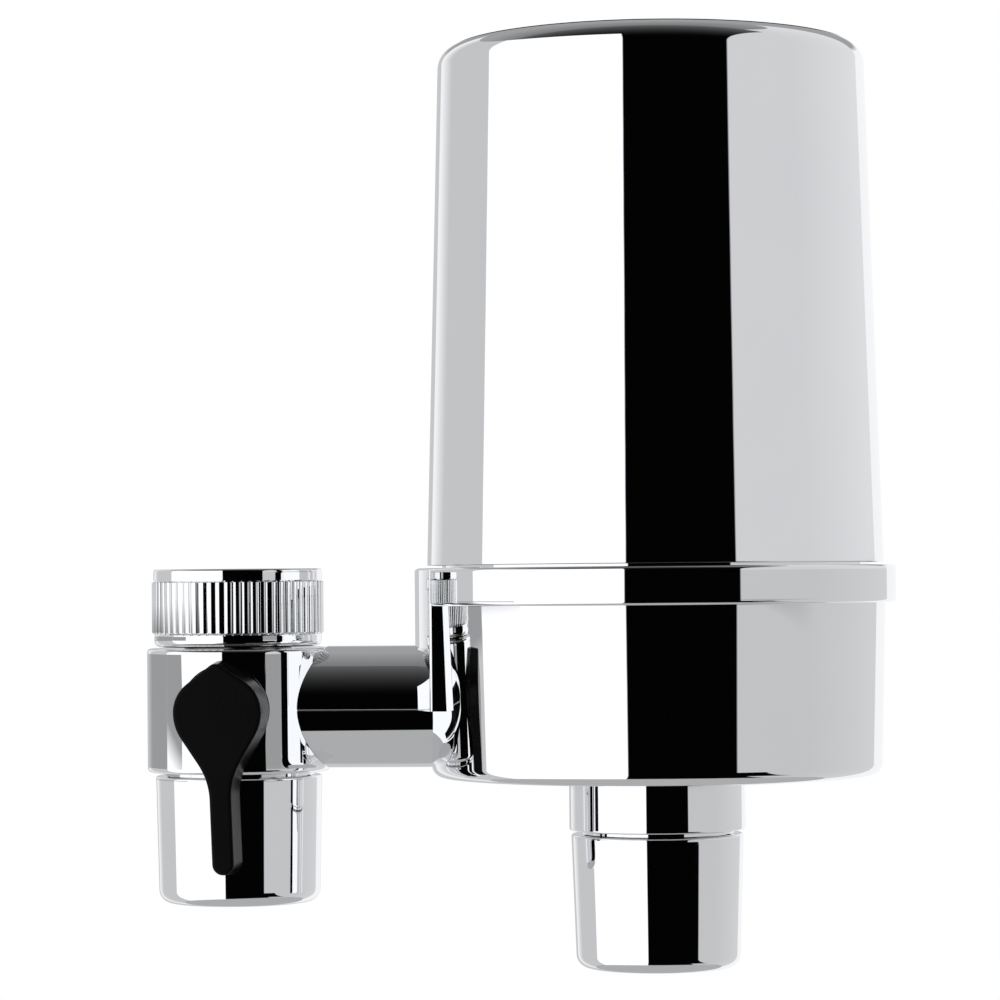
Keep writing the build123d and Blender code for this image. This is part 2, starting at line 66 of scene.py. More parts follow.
def rounded(corners, steps=8, guard=0.2):
    """A closed outline; a corner given as (across, up, radius) is rounded over.

    A guard point just before and just after each arc keeps the flats beside it flat.
    """
    outline = []
    for index, corner in enumerate(corners):
        here = Vector(corner[:2])
        if len(corner) == 2:
            outline.append(here)
            continue
        back = (Vector(corners[index - 1][:2]) - here).normalized()
        on = (Vector(corners[(index + 1) % len(corners)][:2]) - here).normalized()
        half = back.angle(on) / 2
        reach = corner[2] / math.tan(half)
        centre = here + (back + on).normalized() * corner[2] / math.sin(half)
        arm = here + back * reach - centre
        sweep = arm.angle_signed(here + on * reach - centre)
        outline.append(here + back * (reach + guard))
        for step in range(steps + 1):
            outline.append(centre + Matrix.Rotation(-sweep * step / steps, 2) @ arm)
        outline.append(here + on * (reach + guard))
    return outline


def crease(mesh):
    """Shade a mesh smooth, with a crease at each sharp edge."""
    mesh.shade_smooth()
    mesh.set_sharp_from_angle(angle=crease_angle)


def piece(name, points, faces):
    """A mesh object from points in millimetres, welded and with its faces turned outwards."""
    mesh = bpy.data.meshes.new(name)
    mesh.from_pydata([Vector(point) * mm for point in points], [], faces)
    shape = bmesh.new()
    shape.from_mesh(mesh)
    bmesh.ops.remove_doubles(shape, verts=shape.verts, dist=weld_distance)
    bmesh.ops.recalc_face_normals(shape, faces=shape.faces)
    shape.to_mesh(mesh)
    shape.free()
    crease(mesh)
    made = bpy.data.objects.new(name, mesh)
    bpy.context.scene.collection.objects.link(made)
    return made


def stitched(rings, count, closed=False):
    """The faces between rings of count points; closed joins the last ring to the first."""
    faces = []
    for ring in range(rings if closed else rings - 1):
        here, there = ring * count, (ring + 1) % rings * count
        for row in range(count):
            up = (row + 1) % count
            faces.append((here + row, there + row, there + up, here + up))
    return faces


def lathe(name, outline, x=0.0, sides=256, swell=None):
    """Turn a closed outline of (radius, height) about a vertical axis; swell may change radii."""
    points = []
    for number in range(sides):
        angle = full_turn * number / sides
        for radius, height in outline:
            reach = radius + (swell(angle, radius, height) if swell else 0.0)
            points.append((x + reach * math.cos(angle), reach * math.sin(angle), height))
    return piece(name, points, stitched(sides, len(outline), closed=True))


class Link:
    """A socket in a node tree. Python's operators on it add Math nodes."""

    def __init__(self, tree, socket=None):
        self.tree = tree
        self.socket = socket

    def node(self, kind, settings=None, inputs=None, output=0):
        """Add a node: its settings first, then the values or links of its sockets."""
        made = self.tree.nodes.new("ShaderNode" + kind)
        for name, value in (settings or {}).items():
            setattr(made, name, value)
        for name, value in (inputs or {}).items():
            if isinstance(value, Link):
                self.tree.links.new(value.socket, made.inputs[name])
            else:
                made.inputs[name].default_value = value
        return Link(self.tree, made.outputs[output])

    def math(self, operation, *values):
        return self.node("Math", {"operation": operation}, dict(enumerate(values)))

    def __add__(self, other):
        return self.math("ADD", self, other)

    def __radd__(self, other):
        return self.math("ADD", other, self)

    def __sub__(self, other):
        return self.math("SUBTRACT", self, other)

    def __rsub__(self, other):
        return self.math("SUBTRACT", other, self)

    def __mul__(self, other):
        return self.math("MULTIPLY", self, other)

    def __rmul__(self, other):
        return self.math("MULTIPLY", other, self)

    def __truediv__(self, other):
        return self.math("DIVIDE", self, other)

    def __rtruediv__(self, other):
        return self.math("DIVIDE", other, self)

    def into(self, shader, name):
        self.tree.links.new(self.socket, shader.inputs[name])


def finish(name, **steady):
    """A new material, its shader with steady values set, and its place on the object."""
    made = bpy.data.materials.new(name)
    made.use_nodes = True
    tree = made.node_tree
    shader = tree.nodes["Principled BSDF"]
    for socket, value in steady.items():
        shader.inputs[socket.replace("_", " ")].default_value = value
    return made, shader, Link(tree).node("TexCoord", output="Object")


def noise(place, scale, detail, stretch=None):
    """Even noise from 0 to 1, with scale spots to the metre, or stretched along an axis."""
    if stretch:
        place = place.node("Mapping", inputs={"Vector": place, "Scale": stretch})
    return place.node("TexNoise", inputs={"Vector": place, "Scale": scale, "Detail": detail})


def blend_colours(mask, low, high):
    """A colour that goes from low to high with the mask."""
    return mask.node("Mix", {"data_type": "RGBA"}, {0: mask, 6: (*low, 1), 7: (*high, 1)}, output=2)


def raise_grain(shader, height, strength, depth):
    """Let a height map bump the surface, by a depth in millimetres at full strength."""
    sockets = {"Strength": strength, "Distance": depth * mm, "Height": height}
    height.node("Bump", inputs=sockets).into(shader, "Normal")


def chrome(name, smudge=0.02):
    """Bright plating: nearly a mirror, with faint smudges and the moulding's slow ripple."""
    polish, clean_share = 0.012, 0.45
    made, shader, place = finish(name, Metallic=1.0)
    cloud = noise(place, 45, 4)
    blend_colours(cloud, (0.90, 0.91, 0.925), (0.95, 0.955, 0.96)).into(shader, "Base Color")
    wiped = noise(place, 60, 5, stretch=(1, 1, 5))
    (polish + smudge * wiped.math("MAXIMUM", wiped - clean_share, 0.0)).into(shader, "Roughness")
    raise_grain(shader, noise(place, 70, 1), 0.05, 0.2)
    return made


def dress(made, body, material, node):
    """Let a piece ride on a body, take its finish, and stand for the node it shows."""
    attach(made, body)
    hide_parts(node)
    made.data.materials.clear()
    made.data.materials.append(material)


def coat(material, *nodes):
    """Give nodes that keep their own meshes a finish."""
    for node in nodes:
        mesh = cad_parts[node].data
        mesh.materials.clear()
        mesh.materials.append(material)


thread_pitch = 25.4 / 27
thread_rows = thread_pitch / 6
run_out = 0.6
hairline = 0.01


def thread(angle, height, low, high):
    """How deep a right-handed thread is cut at an angle and height, from 0 to 1."""
    if not low < height < high:
        return 0.0
    phase = (height / thread_pitch - angle / full_turn) % 1.0
    fade = min(1.0, (height - low) / run_out, (high - height) / run_out)
    return fade * abs(2 * phase - 1)


def meets(radius, wall):
    """Whether a point of an outline lies on the wall of the given radius."""
    return abs(radius - wall) < hairline


def screw(wall, depth, low, high):
    """The swell that cuts a thread into a wall, outwards or, with a depth below 0, inwards."""
    def swell(angle, radius, height):
        return depth * thread(angle, height, low, high) if meets(radius, wall) else 0.0
    return swell


def steps_between(start, end, pitch):
    """Heights from start towards end, both left out, about one pitch apart."""
    count = int(abs(end - start) / pitch + hairline)
    return [start + (end - start) * (step + 1) / (count + 1) for step in range(count)]


nut_chrome = chrome("nut chrome", smudge=0.04)
collar_x, knurl_tip, collar_foot, collar_top = extent("collar")
rib_count = 60
rib_sides = 10
rib_depth = 0.52
rib_flatness = 0.3
bevel_slope, bevel_start = 1.2, 0.2
knurl_high = collar_top - 1.95
knurl_low = knurl_high - 9.42
knurl_root = knurl_tip - rib_depth
rim_radius, rim_round = 14.4, 0.4
foot_radius, foot_round = 14.3, 1.1
bore = 11.9
bore_thread_depth = 0.5
washer_pocket = 12.3
thread_end = extent("collar_washer")[3] + 1.0
lip = 9.5
lip_top = collar_foot + 1.6
bore_screw = screw(bore, bore_thread_depth, thread_end, collar_top - 0.3)


def knurl_and_thread(angle, radius, height):
    """The ribs outside, bevelled at both ends, and the thread inside."""
    if meets(radius, knurl_root) and knurl_low <= height <= knurl_high:
        rib = rib_depth * abs(math.sin(angle * rib_count / 2))**rib_flatness
        bevel = min(height - knurl_low, (knurl_high - height) * 2) * bevel_slope - bevel_start
        return min(rib, max(0.0, bevel))
    return bore_screw(angle, radius, height)


knurl_rows = [knurl_low + step * 0.1 for step in range(8)]
knurl_rows += [knurl_high - 0.4 + step * 0.1 for step in range(5)]
collar_rim = [(bore + 1, collar_top), (rim_radius, collar_top, rim_round), (rim_radius, knurl_high)]
collar_heel = [(foot_radius, knurl_low), (foot_radius, collar_foot, foot_round), (lip, collar_foot)]
collar_outline = (
    [(bore + bore_thread_depth, collar_top)]
    + rounded(collar_rim)[1:]
    + [(knurl_root - 2 * hairline, knurl_high)]
    + [(knurl_root, height) for height in reversed(knurl_rows)]
    + [(foot_radius, knurl_low - hairline)]
    + rounded(collar_heel)[1:-1]
    + [(lip, collar_foot), (lip, lip_top), (washer_pocket, lip_top), (washer_pocket, thread_end)]
    + [(bore, thread_end)]
    + [(bore, height) for height in steps_between(thread_end, collar_top, thread_rows)]
)
collar = lathe("collar_nut", collar_outline, collar_x, rib_count * rib_sides, knurl_and_thread)
dress(collar, "collar", nut_chrome, "collar")


# Seals and washers: black rubber rings, moulded, with a fine matt skin that catches
# a little light. They keep the shapes of the frame.
rubber, shader, place = finish("black rubber", Specular_IOR_Level=0.35)
mottle = noise(place, 900, 3)
blend_colours(mottle, (0.012, 0.012, 0.012), (0.03, 0.03, 0.031)).into(shader, "Base Color")
(0.55 + 0.2 * noise(place, 1500, 3)).into(shader, "Roughness")
raise_grain(shader, noise(place, 4000, 2), 0.2, 0.05)
coat(rubber, "collar_washer", "stem_seal_ring", "plug_seal_front", "plug_seal_rear",
     "tap_outlet_washer", "feed_seal_valve", "feed_seal_base", "cap_seal_ring",
     "cartridge_seal_ring", "filter_outlet_washer")


# Inlet screen: a pierced disc of stainless sheet that lies in the washer's bore and
# keeps grit out, with the rolled sheet's fine lines.
steel, shader, place = finish("rolled steel", Metallic=1.0)
rolled = noise(place, 2500, 3, stretch=(1, 12, 1))
blend_colours(rolled, (0.45, 0.45, 0.44), (0.62, 0.62, 0.61)).into(shader, "Base Color")
(0.25 + 0.2 * rolled).into(shader, "Roughness")
coat(steel, "inlet_screen")


# Swivel stem: a turned brass tube whose flange is trapped in the collar. Only its
# barrel shows, between the collar and the valve.
brass, shader, place = finish("turned brass", Metallic=1.0)
turned = noise(place, 400, 2, stretch=(0.1, 0.1, 20))
blend_colours(turned, (0.15, 0.13, 0.1), (0.22, 0.195, 0.155)).into(shader, "Base Color")
(0.2 + 0.15 * turned).into(shader, "Roughness")
coat(brass, "swivel_stem")


# Valve body: a chromed moulding with softened rims. The plug is bored in from the
# front, the arm grips a boss on its right, and the outlet cup screws on below.
body_chrome = chrome("body chrome")
valve_low, valve_high = box_corners("valve_body")
valve_foot, valve_top = valve_low.z, valve_high.z
valve_radius = -valve_low.x
valve_round = 0.7
cup_top = extent("tap_outlet_cup")[3]
outlet_gap = 0.7
valve_rim = cup_top + outlet_gap
spigot_collar = 12.9
spigot = 11.9
spigot_shoulder = 0.1
spigot_thread_depth = 0.35
stem_bore = extent("stem_seal_ring")[1] + 0.1
stem_foot = extent("swivel_stem")[2]
port = 3.2
valve_outline = rounded([
    (stem_bore, valve_top), (valve_radius, valve_top, valve_round),
    (valve_radius, valve_rim, valve_round), (spigot_collar, valve_rim),
    (spigot_collar, cup_top + spigot_shoulder), (spigot, cup_top + spigot_shoulder)])
valve_outline += [(spigot, height) for height in steps_between(cup_top, valve_foot, thread_rows)]
valve_outline += [
    (spigot, valve_foot), (port, valve_foot), (port, stem_foot), (stem_bore, stem_foot)]
valve = lathe("valve_shell", valve_outline,
              swell=screw(spigot, -spigot_thread_depth, valve_foot, cup_top))


def tube(name, rings, end_shape=None):
    """Rings of points joined into a solid; an end that isn't convex gives its flat shape."""
    count = len(rings[0])
    ends = [tuple(range(count))]
    if end_shape:
        ends = geometry.tessellate_polygon([[Vector((*point, 0)) for point in end_shape]])
    last = (len(rings) - 1) * count
    faces = stitched(len(rings), count) + [tuple(end) for end in ends]
    faces += [tuple(last + corner for corner in reversed(end)) for end in ends]
    return piece(name, [point for ring in rings for point in ring], faces)


def cylinder(name, radius, start, end):
    """A plain cylinder between two points in millimetres, used as a cutter or a boss."""
    sides = 96
    start, end = Vector(start), Vector(end)
    turn = (end - start).to_track_quat("Z", "Y")
    spokes = [turn @ Vector((radius * math.cos(angle), radius * math.sin(angle), 0))
              for angle in (full_turn * number / sides for number in range(sides))]
    return tube(name, [[centre + spoke for spoke in spokes] for centre in (start, end)])


def cut_out(target, *tools):
    """Cut tools from a piece and crease it again."""
    for tool in tools:
        change = target.modifiers.new("cut", "BOOLEAN")
        change.operation = "DIFFERENCE"
        change.solver = "EXACT"
        change.object = tool
        with bpy.context.temp_override(object=target):
            bpy.ops.object.modifier_apply(modifier=change.name)
        bpy.data.objects.remove(tool)
    crease(target.data)


def plate(made, body, node):
    """Dress a chromed moulding."""
    dress(made, body, body_chrome, node)


tube_low, tube_high = box_corners("feed_tube")
arm_z = (tube_low.z + tube_high.z) / 2
plug_bore = extent("plug_seal_front")[1]
plug_end = box_corners("diverter_plug")[1].y + 0.1
bush_bore = extent("retaining_bush")[1] + 0.05
bush_end = box_corners("retaining_bush")[1].y
clear_front = -20
cut_out(valve,
        cylinder("bore", plug_bore, (0, clear_front, arm_z), (0, plug_end, arm_z)),
        cylinder("mouth", bush_bore, (0, clear_front, arm_z), (0, bush_end, arm_z)))
plate(valve, "body", "valve_body")
boss_radius = 8.3
boss_root = valve_radius - 2
boss = cylinder("valve_side_boss", boss_radius, (boss_root, 0, arm_z), (valve_high.x, 0, arm_z))
plate(boss, "body", "valve_body")


# Diverter plug, feed tube and the cartridge's cage and caps: white moulded plastic
# with a soft gloss and the faint mottle of the mould.
white_plastic, shader, place = finish("white plastic", Specular_IOR_Level=0.5)
mottle = noise(place, 60, 3)
blend_colours(mottle, (0.74, 0.75, 0.75), (0.8, 0.81, 0.8)).into(shader, "Base Color")
(0.28 + 0.12 * noise(place, 300, 3)).into(shader, "Roughness")
raise_grain(shader, noise(place, 1200, 2), 0.1, 0.1)
coat(white_plastic, "diverter_plug", "feed_tube", "cartridge_bottom_cap", "cartridge_cage",
     "core_tube", "cartridge_top_cap")


# Lever: one black moulding, shaped like a drop with a blunt point on top, with drafted
# sides and a softly rounded front edge. It is pressed on to the plug's flatted shaft.
black_plastic, shader, place = finish("black plastic", Specular_IOR_Level=0.08)
mottle = noise(place, 120, 3)
blend_colours(mottle, (0.0015, 0.0015, 0.0016), (0.003, 0.003, 0.0033)).into(shader, "Base Color")
(0.2 + 0.08 * noise(place, 500, 4)).into(shader, "Roughness")
raise_grain(shader, noise(place, 1800, 2), 0.08, 0.1)
coat(black_plastic, "retaining_bush")
lever_low, lever_high = box_corners("lever")
lever_front, lever_back = lever_low.y, lever_high.y
lever_draft = math.tan(math.radians(4))
lever_edge = 0.35
lever_flat = 0.3
lever_tilt = math.radians(2)
lever_apex = Vector((0, 8.27))
lever_blunt = 1.6
flank = Vector((4.9, 4.72))
widest = Vector((7.35, -0.2))
shoulder = Vector((6.1, -4.4))
waist = Vector((3.5, -8.6))
stem_top = Vector((1.8, -14.3))
lever_tip = -27.05


def quarter(steps, first=0):
    """Angles from 0 to a right angle in even steps."""
    return [math.pi / 2 * step / steps for step in range(first, steps + 1)]


def tangent_arc(start, end, along, steps):
    """Points on the arc from start to end that leaves start in a given direction."""
    along = along.normalized()
    chord = end - start
    side = Vector((-along.y, along.x))
    radius = chord.length_squared / (2 * chord.dot(side))
    centre = start + side * radius
    sweep = (start - centre).angle_signed(end - centre)
    return [centre + Matrix.Rotation(-sweep * step / steps, 2) @ (start - centre)
            for step in range(steps + 1)]


def lever_half():
    """The lever's right-hand outline, from its blunt point down to the end of its tip."""
    fall = (flank - lever_apex).normalized()
    lean = math.asin(-fall.y)
    reach = lever_blunt * math.tan(lean)
    centre = Vector((0, (lever_apex + fall * reach).y - lever_blunt * fall.x))
    top = [centre + lever_blunt * Vector((math.sin(turn), math.cos(turn)))
           for turn in (lean * step / 6 for step in range(7))]
    radius = stem_top.x
    end = Vector((0, lever_tip + radius))
    foot = [end + radius * Vector((math.cos(turn), -math.sin(turn))) for turn in quarter(10)]
    run = [top[-1].lerp(flank, step / 6) for step in range(1, 6)]
    run += tangent_arc(flank, widest, fall, 12)
    run += tangent_arc(widest, shoulder, Vector((0, -1)), 10)[1:]
    run += [shoulder.lerp(waist, step / 6) for step in range(1, 6)]
    run += tangent_arc(waist, stem_top, waist - shoulder, 12)
    run += [stem_top.lerp(Vector((stem_top.x, end.y)), step / 8) for step in range(1, 8)]
    return top + run + foot


def lever_mesh():
    """Rings from the back edge to the front face, each the outline moved in or out."""
    half = lever_half()
    outline = half + [Vector((-point.x, point.y)) for point in reversed(half[1:-1])]
    outward = []
    for index in range(len(outline)):
        along = outline[(index + 1) % len(outline)] - outline[index - 1]
        outward.append(Vector((-along.y, along.x)).normalized())
    flat_start = lever_edge + lever_flat
    levels = [(lever_back, (lever_back - lever_front) * lever_draft),
              (lever_front + flat_start, flat_start * lever_draft)]
    levels += [(lever_front + lever_edge * (1 - math.sin(turn)),
                lever_edge * lever_draft - lever_edge * (1 - math.cos(turn)))
               for turn in quarter(8)]
    levels.append((lever_front, -flat_start))
    rings = []
    for y, grow in levels:
        flat = [Matrix.Rotation(lever_tilt, 2) @ (point + away * grow)
                for point, away in zip(outline, outward)]
        rings.append([(point.x, y, arm_z + point.y) for point in flat])
    return tube("lever_handle", rings)


dress(lever_mesh(), "lever", black_plastic, "lever")


# Outlets: a chromed cup under the valve for plain water and one under the filter. Each
# is a thin tapered shell with a rounded foot, screwed on over a stream insert.
outlet_bore = 12.2
outlet_mouth = 10.4
mouth_lip = 1.5
outlet_grip = 7.0
outlet_top_round, outlet_foot_round = 0.4, 2.2


def outlet(name, node, body, foot_radius):
    """A tapered shell with a thread inside its top and a lip round its mouth."""
    x, top_radius, foot, top = extent(node)
    seat = foot + mouth_lip
    grip = top - outlet_grip
    outline = rounded([
        (outlet_bore, top), (top_radius, top, outlet_top_round),
        (foot_radius, foot, outlet_foot_round), (outlet_mouth, foot), (outlet_mouth, seat),
        (outlet_bore, seat)])
    rows = steps_between(seat, grip, 4) + steps_between(grip, top, thread_rows)
    outline += [(outlet_bore, height) for height in rows]
    shell = lathe(name, outline, x, swell=screw(outlet_bore, spigot_thread_depth, grip, top))
    plate(shell, body, node)


outlet("tap_cup", "tap_outlet_cup", "tap_outlet", 13.7)
outlet("filter_cup", "filter_outlet_shell", "filter_outlet", 13.82)
grey_plastic, shader, place = finish("grey plastic", Specular_IOR_Level=0.5)
mottle = noise(place, 200, 3)
blend_colours(mottle, (0.42, 0.44, 0.45), (0.5, 0.52, 0.53)).into(shader, "Base Color")
(0.4 + 0.15 * noise(place, 800, 3)).into(shader, "Roughness")
coat(grey_plastic, "tap_outlet_insert", "filter_outlet_insert")


# Yoke: the band round the housing, the tab under it on the arm's side and the arm's
# upper half, one chromed moulding that is bonded to the base along the parting line.
yoke_low, yoke_high = box_corners("yoke")
filter_x, cap_radius, cap_foot, cap_crown = extent("cap")
seam_z = yoke_low.z
band_radius, band_top = yoke_high.y, yoke_high.z
band_foot = band_top - 6.3
band_round = 0.6
upstand = band_radius - 4.57
band_bore = upstand + 0.05
tab_radius = band_radius + 0.12
tab_half = 18.3
tab_round, tab_edge = 0.5, 0.1
tab_top = band_top - 0.3
arm_radius, arm_bore = 10.35, 8.35
arm_round = 0.2
arm_gap = 0.05
arm_sunk = 0.8
bowl_top_radius, bowl_foot_radius, bowl_foot = 38.82, 38.02, -35.45
tab_back = bowl_top_radius - 0.5
fine_guard = 0.05


def bowl_radius(height):
    """The bowl's outer radius, which draws in a little towards its foot."""
    share = (band_foot - height) / (band_foot - bowl_foot)
    return bowl_top_radius + (bowl_foot_radius - bowl_top_radius) * share


def half_arm(name, upper):
    """Half of the arm's tube, shaped at one end to the valve and run into the housing."""
    steps = 56
    side = 1 if upper else -1
    section = []
    for radius, order in ((arm_radius, 1), (arm_bore, -1)):
        start = side * math.asin((seam_z - arm_z) / radius)
        turns = [start + (math.pi - 2 * start) * step / steps for step in range(steps + 1)]
        run = [(radius * math.cos(turn), side * radius * math.sin(turn)) for turn in turns[::order]]
        if radius == arm_radius:
            run[0] = (*run[0], arm_round)
            run[-1] = (*run[-1], arm_round)
        section += run
    section = rounded(section, steps=5, guard=fine_guard)
    at_valve, at_housing = [], []
    for y, up in section:
        housing = tab_radius if upper else bowl_radius(arm_z + up)
        at_valve.append((math.sqrt((valve_radius + arm_gap)**2 - y**2), y, arm_z + up))
        at_housing.append((filter_x - math.sqrt(housing**2 - y**2) + arm_sunk, y, arm_z + up))
    return tube(name, [at_valve, at_housing], section)


def tab_arc(radius, way):
    """An arc across the tab, seen from above, from one of its upright edges to the other."""
    steps = 40
    half = math.asin(tab_half / radius)
    turns = [way * half * (1 - 2 * step / steps) for step in range(steps + 1)]
    return [(filter_x - radius * math.cos(turn), radius * math.sin(turn)) for turn in turns]


def tab_mesh():
    """The tab under the band: an arc a little outside it, with rounded upright edges."""
    front = tab_arc(tab_radius, 1)
    front[0] = (*front[0], tab_round)
    front[-1] = (*front[-1], tab_round)
    plan = rounded(front + tab_arc(tab_back, -1), steps=6, guard=fine_guard)
    centre = Vector((filter_x, 0))
    levels = [(seam_z, 0.0), (tab_top - tab_edge, 0.0)]
    levels += [(tab_top - tab_edge * (1 - math.sin(turn)), tab_edge * (1 - math.cos(turn)))
               for turn in quarter(4, first=1)]
    rings = []
    for height, draw in levels:
        reaches = [point - centre for point in plan]
        rings.append([(*(centre + reach * (1 - draw / reach.length)), height) for reach in reaches])
    return tube("yoke_tab", rings, plan)


band_outline = rounded([
    (band_bore, band_top), (band_radius, band_top, band_round),
    (band_radius, band_foot, band_round), (band_bore, band_foot)])
plate(lathe("yoke_band", band_outline, filter_x, 320), "body", "yoke")
plate(tab_mesh(), "body", "yoke")
plate(half_arm("yoke_arm", upper=True), "body", "yoke")


# Base: the bowl under the band, the arm's lower half and the neck over the outlet, one
# chromed moulding. An upstand inside the band takes the cap's thread.
base_low, base_high = box_corners("base")
base_foot, upstand_top = base_low.z, base_high.z
upstand_edge = 0.5
bowl_round = 2.0
neck_radius = 14.9
neck_top_round, neck_foot_round = 0.5, 0.3
outlet_top = extent("filter_outlet_shell")[3]
neck_foot = outlet_top + outlet_gap
cavity = upstand - 2.2
floor_z = bowl_foot + 3.5
passage = 4.6
seat_top = floor_z + 7.3
seat_floor = seat_top - 6.1
seat_radius, seat_bore = 10.6, 7.65
cap_thread_pitch = 3.0
cap_thread_height = 0.45
cap_thread_low, cap_thread_high = band_top + 2.6, upstand_top - 0.4
base_outline = rounded([
    (bowl_top_radius, band_foot), (bowl_foot_radius, bowl_foot, bowl_round),
    (neck_radius, bowl_foot, neck_top_round), (neck_radius, neck_foot, neck_foot_round),
    (spigot_collar, neck_foot), (spigot_collar, outlet_top + spigot_shoulder),
    (spigot, outlet_top + spigot_shoulder)])
base_outline += [(spigot, height) for height in steps_between(outlet_top, base_foot, thread_rows)]
base_outline += [
    (spigot, base_foot), (passage, base_foot), (passage, seat_floor), (seat_bore, seat_floor),
    (seat_bore, seat_top), (seat_radius, seat_top), (seat_radius, floor_z), (cavity, floor_z),
    (cavity, upstand_top), (upstand - upstand_edge, upstand_top)]
cap_thread_rows = steps_between(upstand_top, band_top, cap_thread_pitch / 8)
base_outline += [(upstand, height) for height in cap_thread_rows] + [(upstand, band_foot)]
base_screw = screw(spigot, -spigot_thread_depth, base_foot, outlet_top)


def base_threads(angle, radius, height):
    """The outlet's thread on the spigot and the cap's coarser one, in relief on the upstand."""
    if not meets(radius, upstand) or height <= band_top:
        return base_screw(angle, radius, height)
    crest = math.sin(math.pi * (height / cap_thread_pitch - angle / full_turn))**2
    ends = min((height - cap_thread_low) / run_out, (cap_thread_high - height) / run_out)
    return -cap_thread_height * max(0.0, min(1.0, ends)) * (1 - crest)


plate(lathe("base_bowl", base_outline, filter_x, 320, base_threads), "body", "base")
plate(half_arm("base_arm", upper=False), "body", "base")
inlet_radius, socket_radius, way_radius = 7.6, 5.05, 3.4
inlet_near = filter_x - tab_radius + 0.31
inlet_far = filter_x - cavity + 2.31
socket_end = tube_high.x + 0.1
inlet_boss = cylinder("base_inlet_boss", inlet_radius,
                      (inlet_near, 0, arm_z), (inlet_far, 0, arm_z))
cut_out(inlet_boss,
        cylinder("socket", socket_radius, (inlet_near - 1, 0, arm_z), (socket_end, 0, arm_z)),
        cylinder("way", way_radius, (inlet_near, 0, arm_z), (inlet_far + 1, 0, arm_z)))
plate(inlet_boss, "body", "base")


# Cap: a deep chromed shell that tapers towards its crowned top, with a soft shoulder.
# It stands on the band and unscrews to change the cartridge.
crown_rise = 0.6
cap_edge = cap_crown - crown_rise
shoulder_radius = 36.05
shoulder_round, roof_round = 3.6, 2.0
cap_foot_round = 0.15
rebate_width, rebate_height = 1.1, 2.2
cap_bore = upstand + 0.3
cap_bore_top = upstand_top + 2
roof_radius = shoulder_radius - 2.2
cap_roof = cap_edge - 2.4
stop_outside, stop_inside = 12.0, 10.5
stop_foot = extent("cartridge_top_cap")[3] + 0.3


def crown_points(count=14):
    """The slight dome on top, from its centre out to the shoulder."""
    ball = (shoulder_radius**2 + crown_rise**2) / (2 * crown_rise)
    reach = math.asin(shoulder_radius / ball)
    return [(ball * math.sin(turn), cap_crown - ball * (1 - math.cos(turn)))
            for turn in (reach * step / count for step in range(count))]


cap_outline = rounded(crown_points() + [
    (shoulder_radius, cap_edge, shoulder_round), (cap_radius, cap_foot, cap_foot_round),
    (cap_radius - rebate_width, cap_foot), (cap_radius - rebate_width, cap_foot + rebate_height),
    (cap_bore, cap_foot + rebate_height), (cap_bore, cap_bore_top),
    (roof_radius, cap_roof, roof_round), (stop_outside, cap_roof), (stop_outside, stop_foot),
    (stop_inside, stop_foot), (stop_inside, cap_roof), (0.0, cap_roof)], steps=14)
plate(lathe("cap_shell", cap_outline, filter_x, 384), "cap", "cap")


# Cartridge media: a sleeve of white fleece round a pressed block of black carbon. They
# show only through the cage's windows once the cap is off.
fleece, shader, place = finish("fleece", Roughness=0.95, Specular_IOR_Level=0.2)
fibres = noise(place, 2500, 6)
blend_colours(fibres, (0.6, 0.6, 0.58), (0.85, 0.85, 0.83)).into(shader, "Base Color")
raise_grain(shader, noise(place, 3000, 6), 0.6, 0.3)
coat(fleece, "fleece_wrap")
carbon, shader, place = finish("pressed carbon", Roughness=0.9)
grit = noise(place, 3000, 6)
blend_colours(grit, (0.008, 0.008, 0.008), (0.03, 0.03, 0.03)).into(shader, "Base Color")
coat(carbon, "carbon_block")


# Studio: a round pale floor, and tall panels that only gloss sees: white on the left, black
# in front, light grey on the right, pale behind. Matt surfaces see an even pale surround.
floor_level, floor_radius = -330, 340
floor = lathe("floor", [(0, floor_level), (floor_radius, floor_level)], filter_x, 64)
paint, shader, place = finish("floor paint", Base_Color=(0.43, 0.43, 0.43, 1), Roughness=0.9,
                              Emission_Strength=1.0)
to_camera = place.node("LightPath", output="Is Camera Ray")
blend_colours(to_camera, (0, 0, 0), (0.5, 0.5, 0.5)).into(shader, "Emission Color")
floor.data.materials.append(paint)


def between(value, low, high, soft=0.5):
    """1 where the value lies inside a range and 0 outside, over a soft edge."""
    inside = value.math("MINIMUM", (value - low) / soft, (high - value) / soft) + 0.5
    return value.math("MINIMUM", value.math("MAXIMUM", inside, 0.0), 1.0)


def slope(value, low, high, start, end):
    """A level that runs from start to end as the value goes from low to high, and stays there."""
    return value.node("MapRange", inputs={"Value": value, 1: low, 2: high, 3: start, 4: end})


def covered(under, share, cover):
    """A level with another laid over it, as far as share says."""
    return under * (1.0 - share) + share * cover


world = bpy.data.worlds.new("studio")
bpy.context.scene.world = world
world.use_nodes = True
sky = Link(world.node_tree)
towards = sky.node("TexCoord", output="Generated")
east, north, upward = (towards.node("SeparateXYZ", inputs={0: towards}, output=axis)
                       for axis in "XYZ")

# Bearing is 0 in front, 90 on the right and 180 behind; rise is the height over the horizon;
# over is 0 on the horizon in front, 90 straight up and 180 on the horizon behind.
degrees = 180 / math.pi
bearing = east.math("ARCTAN2", east, 0.0 - north) * degrees
rise = upward.math("ARCSINE", upward) * degrees
over = upward.math("ARCTAN2", upward, 0.0 - north) * degrees

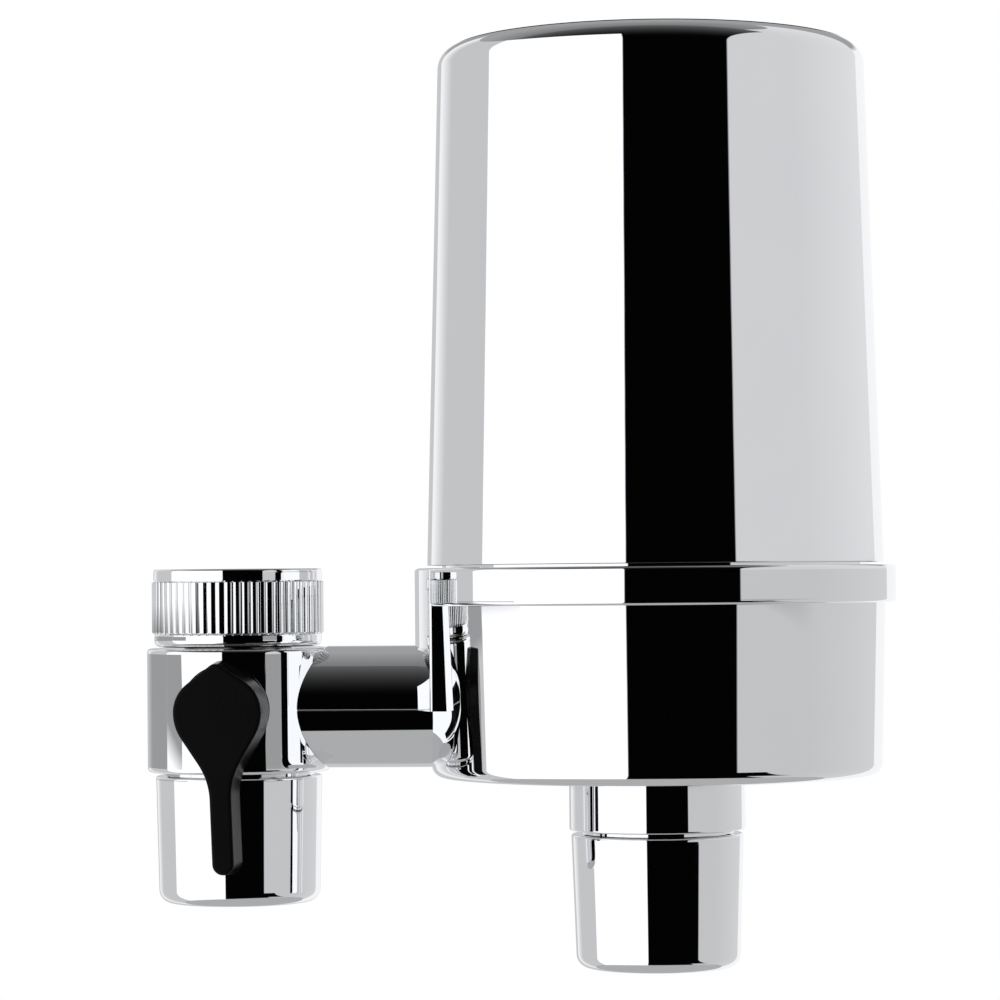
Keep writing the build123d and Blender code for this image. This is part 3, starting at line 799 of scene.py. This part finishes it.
# The panels, from the left at the back round by the front to the right at the back. They are
# dimmer in a band at the horizon, and darkest at the foot of the white one.
lilac_start, white_start, white_end, grey_start, grey_end = -152, -93, -11, 43.5, 148
horizon_band = between(rise, -3.1, -0.6, 0.4)
horizon_dim = 0.42
white_panel = between(bearing, white_start, white_end) * 1.1
lilac_panel = between(bearing, lilac_start, white_start) * slope(bearing, -147, -131, 0.92, 0.58)
lilac_panel = lilac_panel * (1.0 - horizon_dim * horizon_band)
grey_panel = between(bearing, grey_start, grey_end) * slope(bearing, 85, 140, 0.66, 0.76)
grey_panel = grey_panel * slope(rise, 0, 1.5, 0.87, 1.0)
grey_panel = grey_panel * (1.0 - horizon_band * slope(bearing, 62, 88, horizon_dim, 0.0))
behind = 1.0 - between(bearing, lilac_start, grey_end)
level = white_panel + lilac_panel + grey_panel + behind * slope(bearing, -10, 10, 0.58, 0.95)
white_foot = between(bearing, white_start, -67) * horizon_band
white_foot = white_foot * between(rise + 0.018 * bearing, -4.1, 10, 0.5)
level = covered(level, white_foot, 0.336)

# The ceiling: nearly black in front, brightening towards straight up, and grey beyond.
zenith = 84
glow = slope(over, 18, zenith, 0.0, 1.0)
ceiling = glow.math("POWER", glow, 2.4) * 0.12 + 0.0008
ceiling = covered(ceiling, between(over, zenith, 200), slope(over, zenith, 125, 0.2, 0.36))
panel_top = 36 + 20 * between(bearing, 0, 150)
above = covered(between(rise - panel_top, 0, 100), behind, between(rise, 16, 100, 4))
level = covered(level, above, ceiling)

# The black gap in front, between the white panel and the grey one.
gap_end = 0.69 + 0.17 * between(rise, -30, -7.4, 0.3)
gap = between(east, -0.19, gap_end, 0.01) * between(over, -85, zenith)
level = covered(level, gap, ceiling)

glossy = sky.node("LightPath", output="Is Glossy Ray")
level = covered(slope(upward, -1, 1, 0.8, 1.05), glossy, level)
surround = sky.node("CombineColor", inputs={0: level, 1: level * 1.005, 2: level * 1.02})
seen = sky.node("LightPath", output="Is Camera Ray")
shown = sky.node("Mix", {"data_type": "RGBA"}, {0: seen, 6: surround, 7: (1, 1, 1, 1)}, output=2)
shown.into(world.node_tree.nodes["Background"], "Color")


# Camera: level with the collar, a little to the right of the valve, and far enough
# back for a flat view.
camera = bpy.data.objects.new("camera", bpy.data.cameras.new("camera"))
bpy.context.scene.collection.objects.link(camera)
camera_place = Vector((0.10743, -0.63436, -0.00158))
camera_yaw, camera_pitch, camera_roll = (math.radians(turn) for turn in (-5.594, 1.162, -0.512))
camera.matrix_world = (
    Matrix.Translation(camera_place)
    @ Matrix.Rotation(-camera_yaw, 4, "Z")
    @ Matrix.Rotation(math.pi / 2 + camera_pitch, 4, "X")
    @ Matrix.Rotation(camera_roll, 4, "Z"))
camera.data.sensor_width = 36
camera.data.lens = 134.74
camera.data.clip_start = 0.01
bpy.context.scene.camera = camera
bpy.context.scene.view_settings.view_transform = "Standard"
